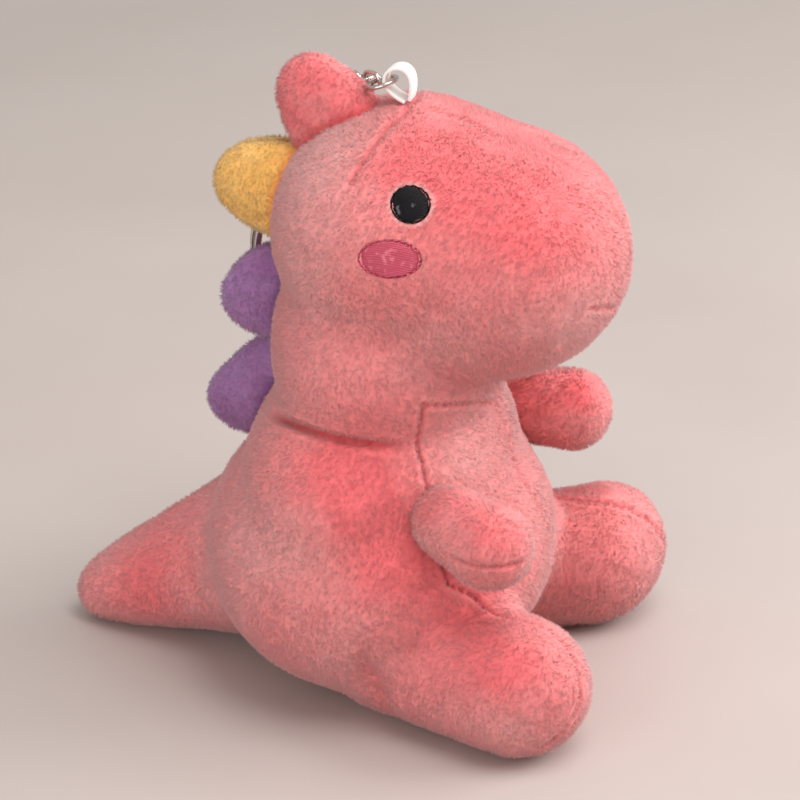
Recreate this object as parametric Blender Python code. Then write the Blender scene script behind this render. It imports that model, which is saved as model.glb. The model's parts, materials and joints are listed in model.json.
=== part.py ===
"""Plush dinosaur keychain: a stuffed sitting dinosaur with a chain and a split key ring.

Metres, +Z up. The dinosaur faces -Y, so its right side is -X. The origin is on the flat base that it
sits on, in its mirror plane. Each soft part is a sewn skin of separate panels over its own filling.
"""
import math

import bmesh
import bpy
from mathutils import Matrix, Vector
from mathutils.bvhtree import BVHTree

MM = 0.001

# Driving dimensions, in millimetres. Each lobe of the body is a centre and three half sizes.
HEAD = ((0, -4, 81.2), (26.3, 21.8, 20.6))
FOREHEAD = ((0, -12, 79.3), (24.8, 20, 21.3))
SNOUT = ((0, -19.5, 78), (24, 20.5, 21))
NECK = ((0, -1.5, 60), (26, 19.5, 20))
CHEST = ((0, -1, 38), (28.5, 21.5, 22))
BACK = ((0, 3, 37), (32, 20, 21))
BELLY = ((0, 0.5, 23.4), (34, 29.5, 25.4))
# Tapered rolls: points along the middle with a radius at each. The legs are mirrored.
TAIL = (((0, 12, 20.5), 18.2), ((0, 30, 13.8), 12.3), ((0, 44, 8.0), 8.6), ((0, 51.5, 5.0), 6.3))
LEG = (((15, -6, 11.5), 12.5), ((24.2, -30.5, 11.2), 11.8))
VOXEL = 1.3
SMOOTHING = 14
BODY_DETAIL = 0.045                 # share of the remeshed faces that is kept
FILL_DETAIL = 0.026                 # the same for the filling
LINING_DETAIL = 0.036               # and for the inside of the skin

SKIN = 1.5                          # plush cloth with its pile
SEAM = 0.4                          # clear width between two sewn panels
FILL_GAP = 1.0                      # clear width between a skin and its filling
REST_GAP = 0.4                      # clear width between the body and what is sewn to it

BELLY_HALF_WIDTH = 9.0
BELLY_TOP = 52.0
BASE_HALF = (14.0, 16.0)            # the sewn base panel reaches this far along X and Y
BASE_TOP = 3.0
BELLY_BACK = -8.0                   # the belly and leg panels end here, in front of the middle
LEG_BACK = -12.0
LEG_TOP = 24.0
BEYOND = 200.0                      # past every side of the object

# Each arm is a round root on its hinge and a larger round hand.
SHOULDER = ((25.4, -19.6, 40.2), 5.9)
HAND = ((27.4, -25.6, 38.0), 7.4)
ARM_SKIN = 1.2

# Stuffed spikes along the back: middle, tilt, (half thickness, half length, height)
SPIKES = (
    ("spike_pink", (0, 10.2, 99.4), 54, (4.2, 7.4, 11.2)),
    ("spike_yellow", (0, 20.0, 84.9), 8, (4.4, 8.2, 11.8)),
    ("spike_violet_upper", (0, 18.6, 66.2), -2, (4.0, 8.2, 11.0)),
    ("spike_violet_lower", (4.2, 20.6, 47.6), -7, (4.4, 8.8, 11.6)),
)
SPIKE_SKIN = 1.1

# Embroidered patches on each side of the head: (Y, Z) of the middle, half sizes, thickness
EYE = ((-10.2, 92.4), (3.3, 3.3), 0.7)
CHEEK = ((-8.3, 84.4), (5.0, 3.0), 0.6)
PATCH_SIDES = 16

RIBBON_WIDTH = 3.3
RIBBON_THICK = 0.5
RIBBON_FOOT = (0, -4.0, 102.1)
RIBBON_SPREAD = 2.6
RIBBON_HEIGHT = 5.8
RIBBON_LEAN = 27.0                  # degrees backwards
RIBBON_START = 0.12                 # where its ends are, measured like the angle in ribbon_point
RIBBON_STEPS = 22
RIBBON_RING_TURN = 1.15             # how far past the top the round ring holds the ribbon, radians

WIRE = 0.8                          # chain wire
LINK_LENGTH = 4.8
LINK_WIDTH = 3.5
LINK_COUNT = 10
TWISTED_LINKS = 4                   # the first links turn from the round ring's plane to the head's
JUMP_RING = 5.8                     # outer diameter of the round ring in the ribbon
JUMP_RING_HOLD = 0.8                # from the middle of the ribbon to the middle of that ring
JUMP_RING_TURN = 52.0               # where the chain leaves it, degrees from straight back
END_RING = 6.0                      # outer diameter of the round ring on the key ring
LINK_GAP = 0.3                      # clear width between two wires that hold each other
LINK_PITCH = LINK_LENGTH - 2 * WIRE - LINK_GAP
KEY_RING = 25.0                     # outer diameter of the split ring
KEY_WIRE = (1.5, 1.05)              # its section, across and along its axis
KEY_FACING = 50.0                   # heading of its axis, degrees from +X towards +Y
KEY_LEAN = 5.0                      # it leans on the neck, so its foot stands out, degrees
TURNED_LINKS = 4                    # the last links turn from the head's plane to the key ring's
KEY_STEP = 1.4                      # from the middle of one coil to the middle of the next
KEY_CROSSING = 0.55                 # half the turn in which one coil crosses to the next, radians
KEY_OPEN = 0.63                     # where its two ends are, radians past the top
KEY_STEPS = 84
KEY_WIRE_ROUNDING = 1.05            # its six-sided section stands this much past the oval
# The chain lies over the back of the head on its left side, along these points.
CHAIN_ROUTE = ((4.0, 5.0, 103.4), (7.4, 8.7, 101.2), (10.6, 11.8, 96.8), (13.4, 14.2, 91.4),
               (15.6, 16.2, 85.8), (16.9, 17.4, 80.0), (17.2, 17.6, 74.0))


def material(name, color, roughness=0.9, metallic=0.0):
    made = bpy.data.materials.new(name)
    made.use_nodes = True
    shader = made.node_tree.nodes["Principled BSDF"]
    shader.inputs["Base Color"].default_value = (*color, 1)
    shader.inputs["Roughness"].default_value = roughness
    shader.inputs["Metallic"].default_value = metallic
    made.diffuse_color = (*color, 1)
    return made


def add_object(name, mesh_data, look, origin=(0, 0, 0)):
    """One node from a bmesh in millimetres, with its origin at the given point."""
    place = Vector(origin) * MM
    bmesh.ops.scale(mesh_data, vec=(MM, MM, MM), verts=mesh_data.verts)
    bmesh.ops.translate(mesh_data, vec=-place, verts=mesh_data.verts)
    bmesh.ops.recalc_face_normals(mesh_data, faces=mesh_data.faces)
    mesh = bpy.data.meshes.new(name)
    mesh_data.to_mesh(mesh)
    mesh_data.free()
    mesh.shade_smooth()
    mesh.set_sharp_from_angle(angle=math.radians(50))
    mesh.materials.append(look)
    made = bpy.data.objects.new(name, mesh)
    made.location = place
    bpy.context.collection.objects.link(made)
    return made


# ---- the soft body -------------------------------------------------------------------------------

def add_ball(mesh_data, centre, half_sizes):
    matrix = Matrix.Translation(Vector(centre)) @ Matrix.Diagonal((*half_sizes, 1))
    bmesh.ops.create_uvsphere(mesh_data, u_segments=32, v_segments=20, radius=1, matrix=matrix)


def add_roll(mesh_data, stations, side, steps=7):
    """A tapered roll through the stations, made of close balls."""
    for (start, start_radius), (end, end_radius) in zip(stations, stations[1:]):
        for step in range(steps + 1):
            share = step / steps
            centre = Vector(start).lerp(Vector(end), share)
            centre.x *= side
            radius = start_radius + (end_radius - start_radius) * share
            add_ball(mesh_data, centre, (radius, radius, radius))


def evaluated_copy(guide):
    """What an object's modifiers make of it, as a bmesh."""
    made = bmesh.new()
    made.from_mesh(guide.evaluated_get(bpy.context.evaluated_depsgraph_get()).to_mesh())
    return made


def guide_object(mesh_data):
    mesh = bpy.data.meshes.new("guide")
    mesh_data.to_mesh(mesh)
    mesh_data.free()
    guide = bpy.data.objects.new("guide", mesh)
    bpy.context.collection.objects.link(guide)
    return guide


def body_form():
    """The fine closed surface of head, body, legs and tail, blended into one form."""
    lobes = bmesh.new()
    for centre, half_sizes in (HEAD, FOREHEAD, SNOUT, NECK, CHEST, BACK, BELLY):
        add_ball(lobes, centre, half_sizes)
    add_roll(lobes, TAIL, 1)
    for side in (1, -1):
        add_roll(lobes, LEG, side)
    guide = guide_object(lobes)
    remesh = guide.modifiers.new("fuse", "REMESH")
    remesh.mode = "VOXEL"
    remesh.voxel_size = VOXEL
    smooth = guide.modifiers.new("blend", "SMOOTH")
    smooth.factor = 0.5
    smooth.iterations = SMOOTHING
    made = evaluated_copy(guide)
    bpy.data.objects.remove(guide)
    return made


def body_solid(form, depth, detail):
    """The body's form moved inwards by a depth, thinned out and cut flat at the base."""
    guide = guide_object(form.copy())
    shrink = guide.modifiers.new("shrink", "DISPLACE")
    shrink.strength = -depth
    shrink.mid_level = 0
    thin = guide.modifiers.new("thin", "DECIMATE")
    thin.ratio = detail
    solid = evaluated_copy(guide)
    bpy.data.objects.remove(guide)
    cut_plane(solid, (0, 0, 0), (1, 0, 0), clear_inner=True)
    bmesh.ops.mirror(solid, geom=solid.verts[:] + solid.edges[:] + solid.faces[:], axis="X",
                     merge_dist=0.001)
    cut_plane(solid, (0, 0, depth), (0, 0, 1), clear_inner=True)
    bmesh.ops.holes_fill(solid, edges=[e for e in solid.edges if e.is_boundary])
    bmesh.ops.triangulate(solid, faces=[f for f in solid.faces if len(f.verts) > 4])
    bmesh.ops.recalc_face_normals(solid, faces=solid.faces)
    solid.normal_update()
    return solid


def cut_plane(mesh_data, point, normal, clear_inner=False):
    """Cut along a plane, and take away what is behind it if asked."""
    bmesh.ops.bisect_plane(
        mesh_data, geom=[*mesh_data.verts, *mesh_data.edges, *mesh_data.faces], dist=0.02,
        plane_co=point, plane_no=normal, clear_inner=clear_inner)
    mesh_data.normal_update()


def seam_shift(vert, faces):
    """Which way the cut edge at this vertex draws back, along the cloth, to leave half a seam."""
    shift = Vector()
    for edge in vert.link_edges:
        inside = [f for f in edge.link_faces if f in faces]
        if len(inside) != 1:
            continue
        along = (edge.verts[1].co - edge.verts[0].co).normalized()
        inward = inside[0].calc_center_median() - edge.verts[0].co
        inward -= along * inward.dot(along)
        inward -= vert.normal * inward.dot(vert.normal)
        if inward.length > 1e-6:
            shift += inward.normalized()
    if shift.length > 1e-6:
        shift.normalize()
    return shift * SEAM / 2


def panel(surface, faces, thickness):
    """A closed panel of cloth: the given faces of a surface, thickened inwards."""
    faces = set(faces)
    cloth = bmesh.new()
    outer = {}
    inner = {}
    for vert in {v for f in faces for v in f.verts}:
        place = vert.co + seam_shift(vert, faces)
        outer[vert] = cloth.verts.new(place)
        inner[vert] = cloth.verts.new(place - vert.normal * thickness)
    for face in faces:
        cloth.faces.new([outer[v] for v in face.verts])
        cloth.faces.new([inner[v] for v in reversed(face.verts)])
        for loop in face.loops:
            if sum(f in faces for f in loop.edge.link_faces) == 1:
                start = loop.vert
                end = loop.link_loop_next.vert
                cloth.faces.new([outer[end], outer[start], inner[start], inner[end]])
    return cloth


def filling(surface, depth):
    """What fills a sewn skin: the same closed surface, moved inwards."""
    core = bmesh.new()
    moved = {v: core.verts.new(v.co - v.normal * depth) for v in surface.verts}
    for face in surface.faces:
        core.faces.new([moved[v] for v in face.verts])
    return core


def block(low, high):
    """A box from its lowest to its highest corner."""
    made = bmesh.new()
    size = [b - a for a, b in zip(low, high)]
    middle = [(a + b) / 2 for a, b in zip(low, high)]
    bmesh.ops.create_cube(made, size=1, matrix=Matrix.Translation(middle) @ Matrix.Diagonal((*size, 1)))
    return made


def leg_block(side, grow):
    """The room between the belly panel and the ridge of a leg, grown by a distance."""
    hip, foot = (Vector(station[0]) for station in LEG)
    along = Vector((foot.x - hip.x, foot.y - hip.y)).normalized()
    inner_x = BELLY_HALF_WIDTH - grow
    back_y = LEG_BACK + grow

    def ridge(y):
        return hip.x + along.x / along.y * (y - hip.y) + grow / abs(along.y), y
    outline = [(inner_x, -BEYOND), ridge(-BEYOND), ridge(back_y), (inner_x, back_y)]
    made = bmesh.new()
    levels = [[made.verts.new((x * side, y, z)) for x, y in outline]
              for z in (-BEYOND, LEG_TOP + grow)]
    made.faces.new(levels[0])
    made.faces.new(levels[1])
    for index in range(4):
        after = (index + 1) % 4
        made.faces.new([levels[0][index], levels[0][after], levels[1][after], levels[1][index]])
    bmesh.ops.recalc_face_normals(made, faces=made.faces)
    return made


def boolean(solid, tools):
    """The solid after each (operation, tool) in turn."""
    guide = guide_object(solid)
    others = []
    for operation, tool in tools:
        other = guide_object(tool)
        others.append(other)
        cut = guide.modifiers.new("cut", "BOOLEAN")
        cut.operation = operation
        cut.object = other
    made = evaluated_copy(guide)
    for used in (guide, *others):
        bpy.data.objects.remove(used)
    bmesh.ops.remove_doubles(made, verts=made.verts, dist=0.001)
    return made


def base_block(grow):
    half_x, half_y = BASE_HALF
    return block((-half_x - grow, -half_y - grow, -BEYOND),
                 (half_x + grow, half_y + grow, BASE_TOP + grow))


def belly_block(grow):
    half = BELLY_HALF_WIDTH + grow
    return block((-half, -BEYOND, -BEYOND), (half, BELLY_BACK + grow, BELLY_TOP + grow))


def build_body(pink):
    """The sewn skin of the body and its filling. Returns the surface that other parts are sewn to."""
    form = body_form()
    outer = body_solid(form, 0, BODY_DETAIL)
    shape = BVHTree.FromBMesh(outer)
    skin = outer.copy()
    lining = body_solid(form, SKIN, LINING_DETAIL)
    bmesh.ops.reverse_faces(lining, faces=lining.faces)
    mesh = bpy.data.meshes.new("lining")
    lining.to_mesh(mesh)
    lining.free()
    skin.from_mesh(mesh)
    half = SEAM / 2
    keep, cut = "INTERSECT", "DIFFERENCE"
    add_object("base_panel", boolean(skin.copy(), [(keep, base_block(-half))]), pink)
    add_object("belly_panel", boolean(skin.copy(), [
        (keep, belly_block(-half)), (cut, base_block(half))]), pink)
    for side, word in ((1, "left"), (-1, "right")):
        add_object(f"leg_panel_{word}", boolean(skin.copy(), [
            (keep, leg_block(side, -half)), (cut, base_block(half))]), pink)
        low_x, high_x = sorted((half * side, BEYOND * side))
        add_object(f"side_panel_{word}", boolean(skin.copy(), [
            (keep, block((low_x, -BEYOND, -BEYOND), (high_x, BEYOND, BEYOND))), (cut, base_block(half)),
            (cut, belly_block(half)), (cut, leg_block(side, half))]), pink)
    skin.free()
    add_object("body_filling", body_solid(form, SKIN + FILL_GAP, FILL_DETAIL), stuffing_material())
    form.free()
    outer.free()
    return shape


def stuffing_material():
    return bpy.data.materials.get("stuffing") or material("stuffing", (0.9, 0.9, 0.88), 1.0)


# ---- arms and spikes -----------------------------------------------------------------------------

def build_arm(side, pink):
    """A stuffed arm of two sewn halves. Its origin is on the hinge through its round root."""
    word = "left" if side > 0 else "right"
    surface = bmesh.new()
    ends = []
    for centre, radius in (SHOULDER, HAND):
        middle = Vector((centre[0] * side, centre[1], centre[2]))
        ends.append(middle)
        bmesh.ops.create_uvsphere(
            surface, u_segments=14, v_segments=9, radius=radius, matrix=Matrix.Translation(middle))
    bmesh.ops.delete(surface, geom=surface.edges[:], context="EDGES_FACES")
    bmesh.ops.convex_hull(surface, input=surface.verts)
    loose = [v for v in surface.verts if not v.link_faces]
    bmesh.ops.delete(surface, geom=loose, context="VERTS")
    along = (ends[1] - ends[0]).normalized()
    across = Vector((0, 0, 1)).cross(along).normalized() * side
    cut_plane(surface, ends[0], across)
    bmesh.ops.remove_doubles(surface, verts=surface.verts, dist=0.3)
    surface.normal_update()
    for half, sign in (("outer", -1), ("inner", 1)):
        faces = [f for f in surface.faces if (f.calc_center_median() - ends[0]).dot(across) * sign > 0]
        add_object(f"arm_{word}_{half}", panel(surface, faces, ARM_SKIN), pink, ends[0])
    add_object(f"arm_{word}_filling", filling(surface, ARM_SKIN + FILL_GAP), stuffing_material(), ends[0])
    surface.free()


def spike_surface(middle, tilt, sizes, lift, shape):
    """A closed half disc that bulges to both sides, its base at the given height above the back.

    Returns it with the faces of its base.
    """
    turn = math.radians(tilt)
    out = Vector((0, math.cos(turn), math.sin(turn)))
    along = Vector((0, -math.sin(turn), math.cos(turn)))
    half_thick, half_long, height = sizes
    surface = bmesh.new()
    bmesh.ops.create_uvsphere(surface, u_segments=16, v_segments=10, radius=1,
                              matrix=Matrix.Rotation(math.pi / 2, 4, "Y"))
    cut_plane(surface, (0, 0, 0), (0, 1, 0))
    base = [f for f in surface.faces if f.calc_center_median().y < 0]
    for vert in surface.verts:
        place = Vector(middle) + Vector((vert.co.x * half_thick, 0, 0)) + along * vert.co.z * half_long
        foot = shape.ray_cast(place + out * 40, -out)[0]
        vert.co = foot + out * (lift + max(vert.co.y, 0) * height)
    surface.normal_update()
    return surface, base


def build_spike(name, middle, tilt, sizes, look, shape):
    """A stuffed half disc of two sewn halves, whose base follows the back."""
    surface, base = spike_surface(middle, tilt, sizes, REST_GAP, shape)
    for word, sign in (("left", 1), ("right", -1)):
        faces = [f for f in surface.faces
                 if f not in base and (f.calc_center_median().x - middle[0]) * sign > 0]
        add_object(f"{name}_{word}", panel(surface, faces, SPIKE_SKIN), look)
    depth = SPIKE_SKIN + FILL_GAP
    half_thick, half_long, height = sizes
    core_sizes = (half_thick - depth, half_long - depth, height - 2 * depth)
    core = spike_surface(middle, tilt, core_sizes, REST_GAP + depth, shape)[0]
    add_object(f"{name}_filling", core, stuffing_material())
    surface.free()


# ---- embroidery ----------------------------------------------------------------------------------

def build_patch(name, side, middle, half_sizes, thickness, look, shape):
    """An embroidered patch that lies on the side of the head."""
    heart, facing = shape.ray_cast(Vector((80 * side, *middle)), Vector((-side, 0, 0)))[:2]
    level = facing.cross(Vector((0, 0, 1))).normalized()
    upright = level.cross(facing)
    patch = bmesh.new()
    levels = {"low": [], "high": []}
    for share in (0, 0.55, 1):
        sides = 1 if share == 0 else PATCH_SIDES
        rows = {"low": [], "high": []}
        for index in range(sides):
            angle = 2 * math.pi * index / PATCH_SIDES
            spot = (heart + level * half_sizes[0] * share * math.cos(angle)
                    + upright * half_sizes[1] * share * math.sin(angle))
            hit, normal = shape.ray_cast(spot + facing * 20, -facing)[:2]
            rows["low"].append(patch.verts.new(hit + normal * REST_GAP))
            rise = thickness * (1 - 0.45 * share ** 4)
            rows["high"].append(patch.verts.new(hit + normal * (REST_GAP + rise)))
        for level_name, row in rows.items():
            levels[level_name].append(row)
    for rows in levels.values():
        centre, ring, rim = rows
        for index in range(PATCH_SIDES):
            after = (index + 1) % PATCH_SIDES
            patch.faces.new([centre[0], ring[index], ring[after]])
            patch.faces.new([ring[index], rim[index], rim[after], ring[after]])
    low, high = levels["low"][2], levels["high"][2]
    for index in range(PATCH_SIDES):
        after = (index + 1) % PATCH_SIDES
        patch.faces.new([low[index], low[after], high[after], high[index]])
    add_object(name, patch, look)


# ---- ribbon, chain and key ring ------------------------------------------------------------------

def sweep(stations, closed=False):
    """A closed tube through a list of rings of points, capped unless it closes on itself."""
    tube = bmesh.new()
    rings = [[tube.verts.new(point) for point in station] for station in stations]
    pairs = list(zip(rings, rings[1:]))
    if closed:
        pairs.append((rings[-1], rings[0]))
    for ring, following in pairs:
        for index in range(len(ring)):
            after = (index + 1) % len(ring)
            tube.faces.new([ring[index], ring[after], following[after], following[index]])
    if not closed:
        tube.faces.new(rings[0])
        tube.faces.new(rings[-1])
    return tube


def ribbon_point(turn):
    """The middle of the ribbon and its outward normal. 0 is the front foot, pi is the top."""
    def place(t):
        y = -RIBBON_SPREAD * math.sin(t) * math.sin(t / 2) - RIBBON_THICK * 0.8 * math.cos(t / 2)
        z = RIBBON_HEIGHT * (1 - math.cos(t)) / 2
        lean = math.radians(RIBBON_LEAN)
        return Vector(RIBBON_FOOT) + Vector(
            (0, y * math.cos(lean) + z * math.sin(lean), z * math.cos(lean) - y * math.sin(lean)))
    tangent = (place(turn + 0.01) - place(turn - 0.01)).normalized()
    return place(turn), Vector((1, 0, 0)).cross(tangent)


def build_ribbon(look):
    stations = []
    for step in range(RIBBON_STEPS + 1):
        turn = RIBBON_START + (2 * math.pi - 2 * RIBBON_START) * step / RIBBON_STEPS
        middle, out = ribbon_point(turn)
        wide = Vector((RIBBON_WIDTH / 2, 0, 0))
        thick = out * RIBBON_THICK / 2
        stations.append([middle + wide + thick, middle - wide + thick, middle - wide - thick,
                         middle + wide - thick])
    add_object("ribbon_loop", sweep(stations), look, RIBBON_FOOT)


def wire_ring(centre, long_way, wide_way, length, width, segments, sides=6):
    """A closed wire ring: round if length and width agree, otherwise a link with straight sides."""
    reach = (width - WIRE) / 2
    straight = (length - width) / 2
    stations = []
    for segment in range(segments):
        angle = 2 * math.pi * (segment + 0.5) / segments
        outward = long_way * math.cos(angle) + wide_way * math.sin(angle)
        middle = centre + outward * reach + long_way * math.copysign(straight, math.cos(angle))
        side = long_way.cross(wide_way)
        stations.append([middle + (outward * math.cos(a) + side * math.sin(a)) * WIRE / 2
                         for a in (2 * math.pi * k / sides for k in range(sides))])
    return sweep(stations, closed=True)


def smooth_route(points, share):
    """A point on the smooth curve through the points (Catmull-Rom), share in 0..1."""
    spans = len(points) - 1
    index = min(int(share * spans), spans - 1)
    t = share * spans - index
    ends = [points[min(max(index + k, 0), spans)] for k in (-1, 0, 1, 2)]
    a, b, c, d = (Vector(p) for p in ends)
    return (b * 2 + (c - a) * t + (a * 2 - b * 5 + c * 4 - d) * t ** 2
            + (b * 3 - a - c * 3 + d) * t ** 3) / 2


def points_along(points, distances):
    """Points on the smooth curve at the given distances from its start, in a straight-line walk."""
    found = []
    place = Vector(points[0])
    share = 0.0
    for distance in distances:
        while (smooth_route(points, share) - place).length < distance:
            share += 0.0005
        place = smooth_route(points, share)
        found.append(place)
    return found


def head_normal(place):
    """The direction away from the head at a point near it."""
    centre, half = HEAD
    return Vector([(place[k] - centre[k]) / half[k] ** 2 for k in range(3)]).normalized()


def key_axes():
    """The key ring's axis and the direction in which it hangs."""
    facing = math.radians(KEY_FACING)
    lean = math.radians(KEY_LEAN)
    out = Vector((math.cos(facing), math.sin(facing), 0))
    up = Vector((0, 0, 1))
    return out * math.cos(lean) + up * math.sin(lean), out * math.sin(lean) - up * math.cos(lean)


def chain_layout():
    """Where each ring and link sits: (name, joint, next joint, direction of its end wires)."""
    hold, out = ribbon_point(math.pi + RIBBON_RING_TURN)
    across = Vector((1, 0, 0))
    middle = hold + out * JUMP_RING_HOLD
    turn = math.radians(JUMP_RING_TURN)
    leave = out * math.cos(turn) + across * math.sin(turn)
    first = middle + leave * (JUMP_RING / 2 - WIRE - LINK_GAP / 2)
    route = [first, *CHAIN_ROUTE]
    reach = [LINK_PITCH] * LINK_COUNT + [END_RING - 2 * WIRE - LINK_GAP]
    joints = [first, *points_along(route, reach)]
    links = []
    ring_axis = across.cross(out)
    for index, (start, end) in enumerate(zip(joints, joints[1:])):
        along = (end - start).normalized()
        away = head_normal((start + end) / 2)
        away = away.lerp(ring_axis, max(0.0, 1 - index / TWISTED_LINKS))
        away = away.lerp(key_axes()[0], max(0.0, 1 - (LINK_COUNT - index) / TURNED_LINKS))
        away = (away - along * away.dot(along)).normalized()
        wide = away if index % 2 == 0 else along.cross(away)
        name = f"chain_link_{index + 1:02d}" if index < LINK_COUNT else "end_ring"
        links.append((name, start, end, along, wide))
    return (hold, middle, leave, out, across), links


def build_chain(look):
    (hold, middle, leave, out, across), links = chain_layout()
    side = out.cross(across).cross(leave)
    add_object("jump_ring", wire_ring(middle, leave, side, JUMP_RING, JUMP_RING, 20), look, hold)
    for name, start, end, along, wide in links:
        centre = (start + end) / 2
        if name == "end_ring":
            made = wire_ring(centre, along, wide, END_RING, END_RING, 20)
        else:
            made = wire_ring(centre, along, wide, LINK_LENGTH, LINK_WIDTH, 12)
        add_object(name, made, look, start)
    return links[-1]


def build_key_ring(look, last_link):
    """A split ring of two coils that hangs from the end ring and leans on the neck."""
    top = last_link[2]
    axis, drop = key_axes()
    half_wide, half_high = KEY_WIRE[0] / 2, KEY_WIRE[1] / 2
    reach = KEY_RING / 2 - half_wide
    centre = top - last_link[3] * (half_wide + LINK_GAP) + drop * reach
    sideways = axis.cross(drop)
    stations = []
    for step in range(KEY_STEPS + 1):
        angle = KEY_OPEN + (4 * math.pi - 2 * KEY_OPEN) * step / KEY_STEPS
        share = (angle - 2 * math.pi) / KEY_CROSSING
        share = max(-1.0, min(1.0, share))
        rise = KEY_STEP / 2 * math.sin(share * math.pi / 2)
        outward = drop * math.cos(angle) + sideways * math.sin(angle)
        middle = centre + outward * reach + axis * rise
        stations.append([middle + (outward * half_wide * math.cos(corner)
                                   + axis * half_high * math.sin(corner)) * KEY_WIRE_ROUNDING
                         for corner in (math.pi / 6 + math.pi * k / 3 for k in range(6))])
    add_object("key_ring", sweep(stations), look, top)


def main():
    for leftover in list(bpy.data.objects):
        bpy.data.objects.remove(leftover)
    pink = material("pink_plush", (0.86, 0.32, 0.34))
    yellow = material("yellow_plush", (0.93, 0.67, 0.25))
    violet = material("violet_plush", (0.42, 0.24, 0.62))
    black = material("black_thread", (0.01, 0.01, 0.012), 0.6)
    rose = material("rose_thread", (0.62, 0.10, 0.18), 0.7)
    white = material("white_ribbon", (0.85, 0.84, 0.82), 0.6)
    nickel = material("nickel", (0.62, 0.61, 0.59), 0.25, 1.0)
    shape = build_body(pink)
    for side in (1, -1):
        build_arm(side, pink)
    looks = (pink, yellow, violet, violet)
    for (name, middle, tilt, sizes), look in zip(SPIKES, looks):
        build_spike(name, middle, tilt, sizes, look, shape)
    for side, word in ((1, "left"), (-1, "right")):
        build_patch(f"eye_{word}", side, *EYE, black, shape)
        build_patch(f"cheek_{word}", side, *CHEEK, rose, shape)
    build_ribbon(white)
    last_link = build_chain(nickel)
    build_key_ring(nickel, last_link)


main()
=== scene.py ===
"""Looks of the plush dinosaur keychain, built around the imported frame.

Shapes are worked out in millimetres and turned into metres when a piece is made. The toy faces -Y, so
its right side is -X. Each plush skin is fused from its CAD nodes, gets its seams and creases as real
grooves, and carries a pile of short tapered strands.
"""
import json
import math

import bmesh
import bpy
import numpy as np
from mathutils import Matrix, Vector, noise
from mathutils.bvhtree import BVHTree
from mathutils.kdtree import KDTree


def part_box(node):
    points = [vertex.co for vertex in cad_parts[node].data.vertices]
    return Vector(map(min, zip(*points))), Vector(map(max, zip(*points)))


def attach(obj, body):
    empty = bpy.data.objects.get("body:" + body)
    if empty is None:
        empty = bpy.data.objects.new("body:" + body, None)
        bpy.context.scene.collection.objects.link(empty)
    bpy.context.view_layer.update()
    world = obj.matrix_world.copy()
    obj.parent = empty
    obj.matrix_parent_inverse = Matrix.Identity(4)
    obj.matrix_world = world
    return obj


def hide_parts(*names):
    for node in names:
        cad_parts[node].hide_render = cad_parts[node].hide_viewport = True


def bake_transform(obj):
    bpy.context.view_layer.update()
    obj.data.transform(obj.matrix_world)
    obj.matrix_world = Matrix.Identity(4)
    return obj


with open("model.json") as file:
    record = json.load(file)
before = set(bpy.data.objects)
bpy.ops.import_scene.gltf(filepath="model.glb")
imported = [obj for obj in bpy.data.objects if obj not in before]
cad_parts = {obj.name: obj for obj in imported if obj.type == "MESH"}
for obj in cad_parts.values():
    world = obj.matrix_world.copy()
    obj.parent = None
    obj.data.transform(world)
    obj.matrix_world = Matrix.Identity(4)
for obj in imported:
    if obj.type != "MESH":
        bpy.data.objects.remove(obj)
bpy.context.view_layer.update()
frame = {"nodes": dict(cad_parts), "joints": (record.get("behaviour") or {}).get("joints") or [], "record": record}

MM = 0.001
LINE_STEP = 0.3                     # between two points of a seam's line

# ---- how the cloth is made, in millimetres ---------------------------------------------------------
BODY_VOXEL = 0.6
SMALL_VOXEL = 0.42
FILLING_GROW = 1.7                  # brings the filling up into the skin, so that no hollow is left
PILE_ROOM = 0.35                    # the skin lies this far under the CAD surface, for its pile
PILE_LENGTH = 0.75
PILE_WIDTH = 0.17
PILE_DENSITY = 11.0                 # strands on a square millimetre
SPIKE_DENSITY = 10.0
PILE_SINK = 0.1                     # a strand's root lies this far under the skin
PILE_BARE = 0.95                    # no strand grows where the skin is barer than this
PILE_LEAN = (0.6, 0.3)              # how far the strands lie over, and how much less where they are pale
PILE_SWIRL = (9.0, 0.8)             # size and weight of the broad swirls in the pile
PILE_CLUMP = (0.62, 0.6)            # size and weight of its small tufts
PILE_STRAY = 0.16                   # how far single strands stray from their tuft
PILE_LEAST_RISE = 0.2               # how steeply every strand stands off the skin at least
PILE_SHADE = (0.06, 0.08)           # how much deeper a strand's root is and how much paler its tip
PILE_PIECES = 4                     # for each half of the body, so that none of them is too heavy
NAP_FLOW = (0.0, 0.35, -1.0)        # the pile lies down and back
FLOOR_GAP = 0.03                    # nothing reaches lower than this
BODY_SMOOTHING, SPIKE_SMOOTHING, ARM_SMOOTHING = 14, 45, 18
SPIKE_SINK = 2.4                    # how far a spike's foot reaches into the body
SPIKE_FOOT = 1.6                    # height of the spike's foot above the body's skin
SPIKE_PUFF = 0.8                    # how far a spike bulges out from its CAD halves
ARM_SINK = 3.4                      # how far an arm's root reaches into the body
ARM_ROOT = 7.5                      # what lies nearer than this to the shoulder is the root
ARM_SEAM_DROP = 2.6                 # the arm's seam lies this far below its shoulder
FINE_LEVELS = 2                     # rounds of subdivision for ribbon, chain and rings
WIRE_GROW = 0.035                   # makes up for what the subdivision takes off a wire
SIDES = (("left", 1), ("right", -1))

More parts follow.
